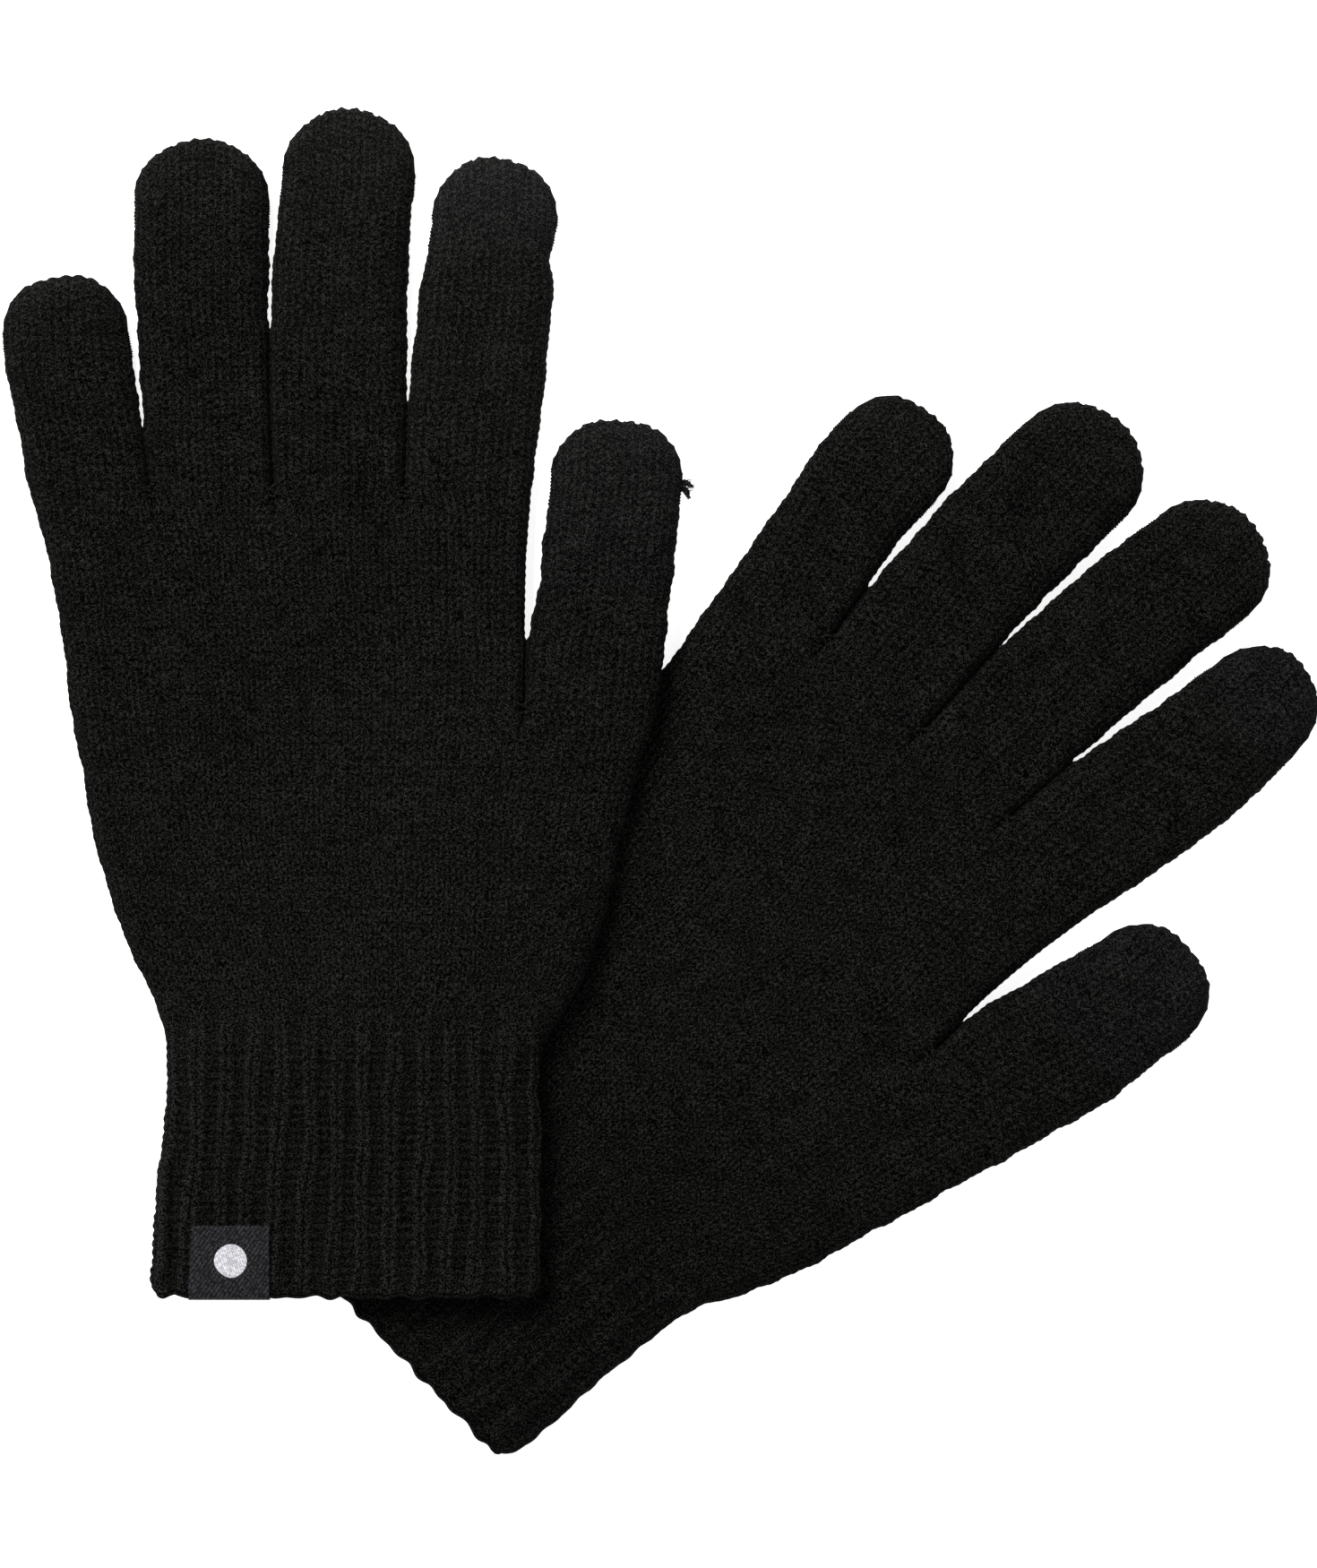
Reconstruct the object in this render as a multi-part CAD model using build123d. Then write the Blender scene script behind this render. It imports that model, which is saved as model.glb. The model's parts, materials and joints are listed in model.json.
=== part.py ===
from build123d import *
import os
from math import atan2, cos, degrees, hypot, radians, sin

# A pair of seamless knitted touchscreen gloves, in millimetres, lying on a surface at z = 0.
# The lower glove lies flat. The upper glove lies across its wrist and palm, slopes down beside it
# and ends flat on the surface. Each glove is drawn in its own frame: the hem is y = 0, the fingers
# point along +Y and the thumb is on the +X side. save() moves each piece to the shared frame.

# --- Knit ---
THICK = 8.0             # a glove lying flat: two knit layers and the room between them
WALL = 1.7              # one knit layer
EDGE = 2.6              # rounding along the folded sides
HINGE_GAP = 0.6         # air between a segment's round end and the flat end that it faces
SIDE_GAP = 0.6          # air between neighbouring fingers
CUFF_LENGTH = 54.0      # ribbed cuff, from the hem to the wrist
HEM_LENGTH = 3.0        # cast-on edge of the cuff
THUMB_LINE = 120.6      # level where the thumb joins the hand
KNUCKLE_LINE = 164.0    # level where the four fingers start
INDEX_TOUCH = 18.0      # conductive end of the index finger

# --- Where the middle of each hem lies, and how far the glove is turned about it ---
UPPER_PLACE = (-63.34, -103.23, 0.0)
LOWER_PLACE = (-59.48, -107.52, -45.7)

# --- Drape of the upper glove, in its own frame ---
LIFT = 8.3              # it rests on the lower glove, with 0.3 mm of air between the pair
SLOPE_LENGTH = 44.0     # plan length of the slope from the lower glove down to the surface
FOLD_X = 62.55          # a point on the line where the slope starts
FOLD_Y = 128.66
FOLD_TURN = 50.2        # direction of that line, in degrees from +X

# --- Outlines of the hand: points (x, y) up each side, in the glove's own frame ---
UPPER_HAND = {
    "hem": (-39.0, 39.0),
    "wrist": (-36.6, 40.3),
    "left": [(-36.6, 54.0), (-46.1, 76.0), (-52.6, 100.0), (-56.2, 120.6)],
    "left_top": [(-56.2, 120.6), (-58.5, 140.0), (-63.0, 159.4)],
    "right": [(40.3, 54.0), (51.5, 76.0), (58.2, 104.0), (61.2, 116.0)],
    "crotch": 36.0,
    "right_top": 36.9,
}
LOWER_HAND = {
    "hem": (-38.0, 40.6),
    "wrist": (-34.0, 46.4),
    "left": [(-34.0, 54.0), (-41.0, 76.0), (-47.2, 100.0), (-50.5, 120.6)],
    "left_top": [(-50.5, 120.6), (-52.9, 140.0), (-56.6, 159.4)],
    "right": [(46.4, 54.0), (56.1, 76.0), (64.0, 104.0), (67.3, 116.0)],
    "crotch": 41.2,
    "right_top": 43.0,
}

# --- Fingers: x of both sides at the start, x of both sides where the round end starts,
#     the level of that, and the level of the very end ---
UPPER_FINGERS = {
    "little": ((-64.3, -39.9), (-69.4, -44.4), 195.0, 206.2),
    "ring": ((-39.9, -14.9), (-43.2, -15.8), 221.0, 233.7),
    "middle": ((-14.9, 11.6), (-13.2, 13.4), 227.0, 239.8),
    "index": ((11.6, 37.2), (17.0, 42.2), 217.0, 230.0),
    "thumb": ((36.8, 62.7), (41.6, 67.7), 165.0, 177.0),
}
LOWER_FINGERS = {
    "little": ((-57.2, -33.0), (-62.6, -38.2), 198.0, 209.2),
    "ring": ((-33.0, -6.6), (-36.4, -8.8), 222.0, 235.2),
    "middle": ((-6.6, 18.2), (-4.2, 22.5), 227.0, 240.0),
    "index": ((18.2, 44.1), (25.0, 49.4), 214.0, 227.4),
    "thumb": ((41.2, 68.6), (49.0, 75.0), 159.0, 171.2),
}
# Distance from the start of a finger to the joint in its middle
FIRST_LENGTH = {"little": 20.0, "ring": 33.0, "middle": 35.0, "index": 31.0, "thumb": 27.0}

# --- Small pieces ---
DARN_LENGTH = 6.0       # yarn darned over the bottom of a gap between two fingers
DARN_WIDTH = 1.4
DARN_HEIGHT = 0.5
TAIL_RADIUS = 0.5       # cut end of the knitting yarn, left at one finger of each glove
TAIL_LENGTH = 3.0
LABEL_X = -23.8         # woven label, folded over the hem of the upper glove
LABEL_WIDTH = 15.5
LABEL_HEIGHT = 14.0
LABEL_THICK = 0.5
LABEL_INSIDE = 10.0     # length of its inner flap
MARK_RADIUS = 3.4       # plain round sign woven into it
MARK_RELIEF = 0.15
STITCH_LENGTH = 1.6     # sewing thread that holds the label
STITCH_WIDTH = 0.35
STITCH_HEIGHT = 0.2
STITCH_INSET = 0.9

HALF = THICK / 2
SLOPE_ANGLE = degrees(atan2(LIFT, SLOPE_LENGTH))
FOLD_DIRECTION = Vector(cos(radians(FOLD_TURN)), sin(radians(FOLD_TURN)), 0)
FAR = 400.0             # longer than any glove


# ---------------------------------------------------------------- shared shapes
def side(points):
    return Spline(*points) if len(points) > 2 else Line(*points)


def band_face(left, right):
    """Face between two sides, each given from its lowest to its highest point."""
    return make_face([side(left), Line(left[-1], right[-1]), side(right), Line(right[0], left[0])])


def inset(left, right, end):
    """The same two sides moved in by one knit layer and made longer at both ends."""
    def longer(points):
        (x0, y0), (x1, y1) = points[0], points[1]
        (x2, y2), (x3, y3) = points[-2], points[-1]
        first = (x0 - (x1 - x0) * end / (y1 - y0), y0 - end)
        last = (x3 + (x3 - x2) * end / (y3 - y2), y3 + end)
        return [first, *points[1:-1], last]
    return ([(x + WALL, y) for x, y in longer(left)], [(x - WALL, y) for x, y in longer(right)])


def slope_slab(low, high):
    """Space between two heights above the ground that the upper glove is draped on."""
    top = [(-FAR, LIFT + high), (0, LIFT + high), (SLOPE_LENGTH, high), (FAR, high)]
    bottom = [(-FAR, LIFT + low), (0, LIFT + low), (SLOPE_LENGTH, low), (FAR, low)]
    downhill = Vector(0, 0, 1).cross(FOLD_DIRECTION)
    section = Plane(origin=(FOLD_X, FOLD_Y, 0), x_dir=downhill, z_dir=FOLD_DIRECTION)
    return extrude(section * make_face(Polyline(*top, *reversed(bottom), close=True)), FAR, both=True)


def layer(face, low, high, draped):
    if draped:
        return extrude(face, LIFT + 2 * THICK) & slope_slab(low, high)
    return Pos(0, 0, low) * extrude(face, high - low)


def soft_edges(solid, open_levels):
    """Round the folded sides. The open ends, which face a neighbouring piece, stay square."""
    def folded(edge):
        flat = abs(edge.bounding_box().size.Z) < THICK / 2
        return flat and not any(
            abs(edge.bounding_box().min.Y - y) < 0.01 and abs(edge.bounding_box().max.Y - y) < 0.01
            for y in open_levels)
    return fillet([edge for edge in solid.edges() if folded(edge)], EDGE)


def tube(left, right, draped):
    """A knitted tube, pressed flat, between two sides."""
    outer = layer(band_face(left, right), 0, THICK, draped)
    hollow = layer(band_face(*inset(left, right, 1.0)), WALL, THICK - WALL, draped)
    if not draped:
        outer = soft_edges(outer, (left[0][1], left[-1][1]))
    return outer - hollow


# ---------------------------------------------------------------- hand and cuff
def cuff(hand, draped):
    """The ribbed cuff and its cast-on edge, as two tubes that meet face to face."""
    def edges(y):
        share = y / CUFF_LENGTH
        return [a + (b - a) * share for a, b in zip(hand["hem"], hand["wrist"])]
    levels = (0.0, HEM_LENGTH, CUFF_LENGTH)
    tubes = []
    for low, high in zip(levels, levels[1:]):
        left = [(edges(low)[0], low), (edges(high)[0], high)]
        right = [(edges(low)[1], low), (edges(high)[1], high)]
        tubes.append(tube(left, right, draped))
    return tubes


def five_finger_palm(hand, draped):
    """From the wrist to the thumb line. Its thumb side ends lower, to leave room for the thumb."""
    step = hand["crotch"] - SIDE_GAP / 2
    left, right = hand["left"], hand["right"]
    low, high = right[-1][1], THUMB_LINE

    def outline(end, notch_low, notch_left, notch_right):
        sides = (left, right) if end == 0 else inset(left, right, end)
        corners = [sides[0][-1], (notch_left, high + end), (notch_left, notch_low),
                   (notch_right, notch_low), (notch_right, low + end), sides[1][-1]]
        steps = [Line(a, b) for a, b in zip(corners, corners[1:]) if a != b]
        return make_face([side(sides[0]), *steps, side(sides[1]), Line(sides[1][0], sides[0][0])])

    outer = layer(outline(0, low, step, step), 0, THICK, draped)
    hollow_face = outline(1.0, low - WALL, step - WALL, step + SIDE_GAP + WALL)
    hollow = layer(hollow_face, WALL, THICK - WALL, draped)
    if not draped:
        outer = soft_edges(outer, (left[0][1], low, high))
    return outer - hollow


def four_finger_palm(hand, draped):
    right = [(hand["crotch"] - SIDE_GAP / 2, THUMB_LINE), (hand["right_top"], hand["left_top"][-1][1])]
    return tube(hand["left_top"], right, draped)


def crotch_darns(hand, fingers, draped):
    """Short bars of yarn across the bottom of each gap between two fingers."""
    level = hand["left_top"][-1][1] - DARN_WIDTH
    places = [(fingers[name][0][1], level, 12) for name in ("little", "ring", "middle")]
    places.append((hand["crotch"] - DARN_LENGTH / 2, THUMB_LINE - DARN_WIDTH, 0))
    return [layer(Pos(x, y) * Rot(0, 0, turn) * SlotOverall(DARN_LENGTH, DARN_WIDTH),
                  THICK, THICK + DARN_HEIGHT, draped) for x, y, turn in places]


# ---------------------------------------------------------------- fingers
def finger_joints(name, fingers):
    """Both hinges of a finger, each as (x, y, turn of its axis from +X in degrees)."""
    (left, right), (tip_left, tip_right), level, _ = fingers[name]
    start = THUMB_LINE if name == "thumb" else KNUCKLE_LINE
    rise = level - start
    drift = (tip_left + tip_right - left - right) / 2
    length = FIRST_LENGTH[name] / hypot(rise, drift)
    middle = (left + right) / 2 + drift * length
    return ((left + right) / 2, start, 0.0), (middle, start + rise * length, -degrees(atan2(drift, rise)))


def beyond(joint):
    """Everything on the far side of a hinge, with a round end about the hinge's axis."""
    x, y, turn = joint
    round_end = Rot(0, 90, 0) * Cylinder(HALF, FAR)
    rest = Box(FAR, FAR, FAR, align=(Align.CENTER, Align.MIN, Align.CENTER))
    return Pos(x, y, HALF) * Rot(0, 0, turn) * (round_end + rest)


def before(joint, gap):
    x, y, turn = joint
    rest = Box(FAR, FAR, FAR, align=(Align.CENTER, Align.MAX, Align.CENTER))
    return Pos(x, y, HALF) * Rot(0, 0, turn) * Pos(0, -gap, 0) * rest


def finger_face(sides, base, end, inward):
    """Outline of a finger: a straight root, sides that lean from its start, and a round tip."""
    (left, right), (tip_left, tip_right), level, _ = sides
    low = base - (1.0 if inward else 0.0)
    move = SIDE_GAP / 2 + inward
    left_side = Polyline((left + move, low), (left + move, base + HALF), (tip_left + inward, level))
    right_side = Polyline((tip_right - inward, level), (right - move, base + HALF), (right - move, low))
    crown = ThreePointArc(left_side @ 1, ((tip_left + tip_right) / 2, end - inward), right_side @ 0)
    return make_face([left_side, crown, right_side, Line(right_side @ 1, left_side @ 0)])


def finger(name, fingers):
    """A finger as two segments, hinged at its start and in its middle."""
    sides = fingers[name]
    first, second = finger_joints(name, fingers)
    base, end = first[1] - HALF, sides[3]
    outer = soft_edges(extrude(finger_face(sides, base, end, 0), THICK), (base,))
    hollow = Pos(0, 0, WALL) * extrude(finger_face(sides, base, end, WALL), THICK - 2 * WALL)
    whole = outer - hollow
    return whole & beyond(first) & before(second, HALF + HINGE_GAP), whole & beyond(second)


def split_touch_tip(tip, name, fingers):
    """The index finger's outer segment: plain knit, then the conductive end."""
    x, _, turn = finger_joints(name, fingers)[1]
    boundary = (x, fingers[name][3] - INDEX_TOUCH, turn)
    plain = before(boundary, 0)
    return tip & plain, tip - plain


def tilt(shape):
    """Lay a flat piece on the slope beside the lower glove."""
    fold = Axis((FOLD_X, FOLD_Y, LIFT + HALF), tuple(FOLD_DIRECTION))
    return (Pos(0, 0, LIFT) * shape).rotate(fold, -SLOPE_ANGLE)


def yarn_tail(x, y, turn, root):
    """Cut end of yarn that sticks out sideways from a fingertip."""
    tail = Pos(x, y, HALF) * Rot(0, 0, turn) * Rot(0, 90, 0) * Pos(0, 0, TAIL_LENGTH / 2)
    return tail * Cylinder(TAIL_RADIUS, TAIL_LENGTH) - root


# ---------------------------------------------------------------- label
def label():
    """Woven label folded over the hem: an outer flap, the fold and an inner flap."""
    top = LIFT + THICK
    centre = Pos(LABEL_X, -LABEL_THICK, 0)
    low = (Align.CENTER, Align.MIN, Align.MIN)
    outer = Pos(0, 0, top) * Box(LABEL_WIDTH, LABEL_HEIGHT, LABEL_THICK, align=low)
    fold = Pos(0, 0, top - WALL) * Box(LABEL_WIDTH, LABEL_THICK, WALL, align=low)
    inner = Pos(0, 0, top - WALL - LABEL_THICK) * Box(LABEL_WIDTH, LABEL_INSIDE, LABEL_THICK, align=low)
    return centre * (outer + fold + inner)


def label_mark():
    face = Pos(LABEL_X, LABEL_HEIGHT / 2 - LABEL_THICK, LIFT + THICK + LABEL_THICK)
    return face * extrude(Circle(MARK_RADIUS), MARK_RELIEF)


def label_stitches():
    """A row of stitches along the label's free edge."""
    level = Pos(LABEL_X, LABEL_HEIGHT - LABEL_THICK - STITCH_INSET, LIFT + THICK + LABEL_THICK)
    pitch = 2 * STITCH_LENGTH
    count = int((LABEL_WIDTH - STITCH_LENGTH) / pitch)
    stitch = extrude(SlotOverall(STITCH_LENGTH, STITCH_WIDTH), STITCH_HEIGHT)
    return [level * Pos((i - count / 2) * pitch, 0, 0) * stitch for i in range(count + 1)]


# ---------------------------------------------------------------- the pair
def save(node, shape, place):
    x, y, turn = place
    shapes = shape if isinstance(shape, list) else [shape]
    solids = [solid for item in shapes for solid in item.solids()]
    placed = [Pos(x, y, 0) * Rot(0, 0, turn) * solid for solid in solids]
    export_step(placed[0] if len(placed) == 1 else Compound(children=placed), f"parts/{node}.step")


def save_glove(prefix, hand, fingers, place, draped):
    hem, rib = cuff(hand, draped)
    save(prefix + "_cuff_hem", hem, place)
    save(prefix + "_cuff_rib", rib, place)
    save(prefix + "_five_finger_palm", five_finger_palm(hand, draped), place)
    save(prefix + "_four_finger_palm", four_finger_palm(hand, draped), place)
    save(prefix + "_crotch_darns", crotch_darns(hand, fingers, draped), place)
    tips = {}
    for name in fingers:
        on_slope = draped and name == "thumb"
        base, tip = finger(name, fingers)
        tips[name] = tip
        pieces = {"base": base, "tip": tip}
        if name == "index":
            middle, touch = split_touch_tip(tip, name, fingers)
            pieces = {"base": base, "middle": middle, "touch_tip": touch}
        elif name == "thumb":
            pieces = {"base": base, "touch_tip": tip}
        for part, shape in pieces.items():
            save(f"{prefix}_{name}_{part}", tilt(shape) if on_slope else shape, place)
    return tips


def main():
    os.makedirs("parts", exist_ok=True)
    lower_tips = save_glove("lower", LOWER_HAND, LOWER_FINGERS, LOWER_PLACE, draped=False)
    upper_tips = save_glove("upper", UPPER_HAND, UPPER_FINGERS, UPPER_PLACE, draped=True)
    save("lower_little_yarn_tail", yarn_tail(-45.6, 207.0, 50, lower_tips["little"]), LOWER_PLACE)
    save("upper_thumb_yarn_tail", tilt(yarn_tail(66.6, 163.6, -15, upper_tips["thumb"])), UPPER_PLACE)
    save("upper_label", label(), UPPER_PLACE)
    save("upper_label_mark", label_mark(), UPPER_PLACE)
    save("upper_label_stitches", label_stitches(), UPPER_PLACE)


main()
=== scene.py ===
import json
import math

import bpy
import numpy as np
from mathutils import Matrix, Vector


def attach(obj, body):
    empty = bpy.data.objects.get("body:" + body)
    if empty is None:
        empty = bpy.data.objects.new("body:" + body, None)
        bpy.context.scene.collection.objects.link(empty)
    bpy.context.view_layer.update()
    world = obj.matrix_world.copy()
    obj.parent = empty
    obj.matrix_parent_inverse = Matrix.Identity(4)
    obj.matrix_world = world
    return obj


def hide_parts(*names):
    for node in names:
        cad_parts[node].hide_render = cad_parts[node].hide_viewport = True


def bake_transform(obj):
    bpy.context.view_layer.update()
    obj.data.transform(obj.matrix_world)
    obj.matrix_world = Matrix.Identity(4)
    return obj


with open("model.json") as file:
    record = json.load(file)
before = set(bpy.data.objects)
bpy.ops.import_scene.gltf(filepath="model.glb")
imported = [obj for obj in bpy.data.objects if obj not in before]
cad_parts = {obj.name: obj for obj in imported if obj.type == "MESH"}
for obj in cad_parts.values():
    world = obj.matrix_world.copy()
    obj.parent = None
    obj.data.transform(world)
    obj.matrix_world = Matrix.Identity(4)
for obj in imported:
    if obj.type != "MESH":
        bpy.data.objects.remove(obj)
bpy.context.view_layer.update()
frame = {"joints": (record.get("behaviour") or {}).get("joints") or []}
JOINTS = {joint["name"]: joint for joint in frame["joints"]}

# Lengths are in millimetres up to the moment a mesh is written, which is in metres.
MM = 0.001

# --- Knit ---
WALE = 6                # mesh columns in one wale on the upper face; half as many underneath
COURSE = 1.65           # one row of stitches
ROW = COURSE / 4        # one mesh row
WALES = {"little": 9, "ring": 10, "middle": 10, "index": 9, "thumb": 9}
STITCH_DEPTH = 0.40
RIBS = 14               # ribs across one face of the cuff
RIB_DEPTH = 0.5
RIB_COURSE = 0.93       # courses are a little longer in the rib
WRIST = 46.0            # above it the ribs run straight on into the palm
BRAID = 0.55
FOLD_END, FOLD_IN = 35.0, 1.3          # the outermost rib is folded over, up to this level, this far in
UNDER = 0.35            # stitches are pressed flat underneath
HEM_WAVE = 0.55
HEM_REACH = 2.5         # the hem is uneven over this length
PURL_BAR = 0.12         # height of the bars between two ribs
PURL_SHADE, BRAID_SHADE = 0.35, 0.95   # how light those bars and the braids are painted, with painted shade in the hollows between them
CUFF_BLEND = 20.0       # the rib changes into plain knit over this length
CUFF_LENGTH = 54.0
THUMB_LINE = 120.6
KNUCKLE_LINE = 164.0
LAYER = 1.7             # thickness of one knit layer
RIM = 3.3               # height of the folded sides of a glove that lies flat
TOP = 3.9               # from the rim up to the upper face
BOTTOM = 2.95           # from the rim down to the lower face
TOP_ROUND = 6.2
BOTTOM_ROUND = 4.5
PRESSED = 0.45          # share of that rounding left where two fingers are pressed together
KEPT_APART = 0.03       # each side of a closed gap stays this far from its middle, so it isn't welded
FINGER_EASE = 25.0      # a finger reaches its full roundness over this length
CREASE_FADE = 9.0       # the gap between two fingers runs on as a crease over this length
TONE = {                # how much lighter the yarn is than in the palm, as (level, gain)
    "upper": {
        "little": [(180, 0), (196, 0.12), (206, 0.45)], "ring": [(195, 0), (216, 0.12), (233, 0.42)],
        "middle": [(176, 0), (196, 0.14), (222, 0.30), (238, 0.65)],
        "index": [(164, 0), (173, 0.17), (188, 0.20), (208, 0.36), (214, 0.66), (224, 1.0)],
        "thumb": [(120, 0), (138, 0), (150, 0.10), (156, 0.26), (166, 0.36), (174, 0.50)],
    },
    "lower": {
        "little": [(190, 0), (206, 0.25)], "ring": [(220, 0), (232, 0.18)],
        "middle": [(224, 0), (238, 0.18)],
        "index": [(202, 0), (208, 0.20), (220, 0.34)],
        "thumb": [(120, -0.05), (140, 0), (154, 0.20), (166, 0.30)],
    },
}
INDEX_TOUCH = 18.0      # conductive end of the index finger
FOLD_BEFORE, FOLD_AFTER = 4.0, 6.0     # lengths before and after a finger's middle joint
FOLD_SPARE = 1.6        # the outer piece starts this much before the first of those lengths
BEYOND = 999            # a level past every fingertip

# --- Drape of the upper glove, in its own frame ---
LIFT = 8.3
SLOPE_LENGTH = 44.0
FOLD_X, FOLD_Y, FOLD_TURN = 62.55, 128.66, math.radians(50.2)
SLOPE_SOFT = 9.0

# --- Outlines, in each glove's own frame: hem at y = 0, fingers along +Y. Points are (y, x) ---
# "closed" is the level up to which a finger lies against the next one (the index: against the thumb)
UPPER = {
    "name": "upper", "place": (-63.34, -103.23, 0.0), "seed": 3, "folded_rib": 1.0, "cuff_painted_shade": 0.0,
    "rib_depth": 1.0, "corner": 3.0, "hem": 0.7,
    "left": [(0, -39.0), (14, -38.6), (38, -36.7), (51, -36.4), (60, -38.9), (68, -42.6), (76, -46.1),
             (92, -50.8), (108, -53.8), (120.6, -56.0), (140, -58.5), (156, -62.1), (164, -64.3)],
    "closed": {"little": 175.5, "ring": 195.5, "middle": 181.0, "index": 132.5},
    "right": [(0, 39.0), (30, 39.5), (51, 40.0), (61, 45.7), (72, 50.2), (99, 56.5), (108, 59.2),
              (120.6, 62.7)],
    "crotch_side": [(120.6, 36.0), (132, 35.9), (148, 36.1), (164, 37.2)],
    "fingers": {
        "little": ([(164, -64.3), (180, -67.4), (190, -69.1), (195, -69.5)],
                   [(164, -39.9), (176, -41.6), (188, -43.2), (195, -44.4)], 206.2),
        "ring": ([(164, -39.9), (176, -41.2), (192, -42.3), (208, -43.2), (221, -43.2)],
                 [(164, -14.9), (180, -15.7), (196, -15.9), (221, -15.9)], 233.7),
        "middle": ([(164, -14.9), (180, -15.4), (196, -15.5), (212, -14.8), (227, -13.1)],
                   [(164, 11.6), (184, 12.0), (204, 12.2), (220, 13.0), (227, 13.6)], 239.8),
        "index": ([(164, 11.6), (184, 12.6), (200, 14.2), (217, 17.0)],
                  [(164, 37.2), (180, 39.3), (196, 40.9), (205, 41.5), (208.7, 40.9), (213, 41.6),
                   (217, 42.4)], 230.0),
        "thumb": ([(120.6, 36.0), (132, 36.4), (140, 38.0), (156, 40.0), (165, 41.0)],
                  [(120.6, 62.7), (132, 64.0), (140, 64.9), (156, 66.7), (165, 67.6)], 177.0),
    },
}
LOWER = {
    # the negative cuff value below is painted shade, which darkens this glove's cuff
    "name": "lower", "place": (-59.48, -107.52, -45.7), "seed": 8, "folded_rib": 0.0, "cuff_painted_shade": -0.26,
    "rib_depth": 0.45, "corner": 4.6, "hem": -0.4,
    "left": [(0, -38.0), (27, -35.6), (50, -33.8), (58, -34.8), (76, -41.0), (100, -47.2), (120.6, -50.5),
             (140, -52.7), (156, -55.8), (164, -57.2)],
    "closed": {"little": 175.5, "ring": 186.5, "middle": 180.5, "index": 128.0},
    "right": [(0, 40.6), (14, 41.5), (32, 42.5), (44, 44.0), (50, 45.3), (56, 48.6), (60, 50.5), (68, 53.6),
              (84, 58.3), (100, 62.8), (116, 67.3), (120.6, 68.6)],
    "crotch_side": [(120.6, 41.2), (132, 40.9), (148, 41.9), (164, 44.1)],
    "fingers": {
        "little": ([(164, -57.2), (180, -60.4), (188, -62.1), (198, -62.6)],
                   [(164, -33.0), (176, -35.3), (192, -37.8), (198, -38.2)], 209.2),
        "ring": ([(164, -33.0), (176, -34.8), (184, -35.5), (208, -36.8), (222, -36.4)],
                 [(164, -6.6), (188, -8.1), (212, -8.6), (222, -8.8)], 235.2),
        "middle": ([(164, -6.6), (188, -7.6), (204, -6.9), (220, -5.5), (227, -4.2)],
                   [(164, 18.2), (180, 19.0), (196, 20.1), (212, 21.3), (227, 22.7)], 240.0),
        "index": ([(164, 18.2), (180, 19.3), (196, 22.1), (214, 25.2)],
                  [(164, 44.1), (172, 45.8), (188, 48.5), (204, 49.7), (214, 49.2)], 227.4),
        "thumb": ([(120.6, 41.2), (132, 41.9), (140, 43.7), (148, 45.8), (159, 49.0)],
                  [(120.6, 68.6), (132, 71.6), (140, 73.4), (148, 74.1), (159, 75.1)], 171.2),
    },
}
FOUR = ("little", "ring", "middle", "index")
TIP_SQUARE = 2.15       # a fingertip's outline is a superellipse of this power
TIP_ZONE = 5.0          # the round end starts this far before the sides stop
TIP_LOOPS = 0.5         # the last loops stand out of a fingertip's outline by this much
TIP_ROUND = 0.42        # share of the round end over which the surface turns down


# ---------------------------------------------------------------- small maths
def smoothstep(t):
    t = np.clip(t, 0, 1)
    return t * t * (3 - 2 * t)


def smooth_line(points, y):
    """x of a smooth curve through points (y, x)."""
    ys, xs = np.array(points, float).T
    slope = np.gradient(xs, ys)
    y = np.clip(y, ys[0], ys[-1])
    i = np.clip(np.searchsorted(ys, y, side="right") - 1, 0, len(ys) - 2)
    h = ys[i + 1] - ys[i]
    t = (y - ys[i]) / h
    return ((2 * t**3 - 3 * t**2 + 1) * xs[i] + (t**3 - 2 * t**2 + t) * h * slope[i]
            + (3 * t**2 - 2 * t**3) * xs[i + 1] + (t**3 - t**2) * h * slope[i + 1])


def round_over(u):
    """Height of a quarter circle, from 0 at u = 0 to 1 from u = 1 on."""
    return np.sqrt(np.clip(1 - (1 - np.clip(u, 0, 1)) ** 2, 0, 1))


def field(rng, shape, cell):
    """Smooth random numbers from -1 to 1 on a grid, cell mesh steps apart."""
    rows, columns = (int(n / c) + 3 for n, c in zip(shape, cell))
    coarse = rng.uniform(-1, 1, (rows, columns))
    r = np.arange(shape[0]) / cell[0]
    c = np.arange(shape[1]) / cell[1]
    i, j = r.astype(int), c.astype(int)
    u, v = smoothstep(r - i)[:, None], smoothstep(c - j)[None, :]
    near = coarse[i][:, j] * (1 - v) + coarse[i][:, j + 1] * v
    far = coarse[i + 1][:, j] * (1 - v) + coarse[i + 1][:, j + 1] * v
    return near * (1 - u) + far * u


def wobble(glove, key, y):
    """Small unevenness of an outline, in millimetres."""
    rng = np.random.RandomState(100 * glove["seed"] + key)
    return sum(rng.uniform(0.05, 0.15) * np.sin(2 * math.pi * y / rng.uniform(*span) + rng.uniform(0, 6.28))
               for span in ((4, 6), (8, 12), (15, 24)))


def to_frame(glove, points):
    """From the glove's own frame to the shared one, both in millimetres."""
    x0, y0, turn = glove["place"]
    c, s = math.cos(math.radians(turn)), math.sin(math.radians(turn))
    p = np.asarray(points, float)
    return np.stack([x0 + p[..., 0] * c - p[..., 1] * s, y0 + p[..., 0] * s + p[..., 1] * c, p[..., 2]], -1)


def to_glove(glove, point):
    x0, y0, turn = glove["place"]
    c, s = math.cos(math.radians(turn)), math.sin(math.radians(turn))
    dx, dy = point[0] / MM - x0, point[1] / MM - y0
    return dx * c + dy * s, -dx * s + dy * c


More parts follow.
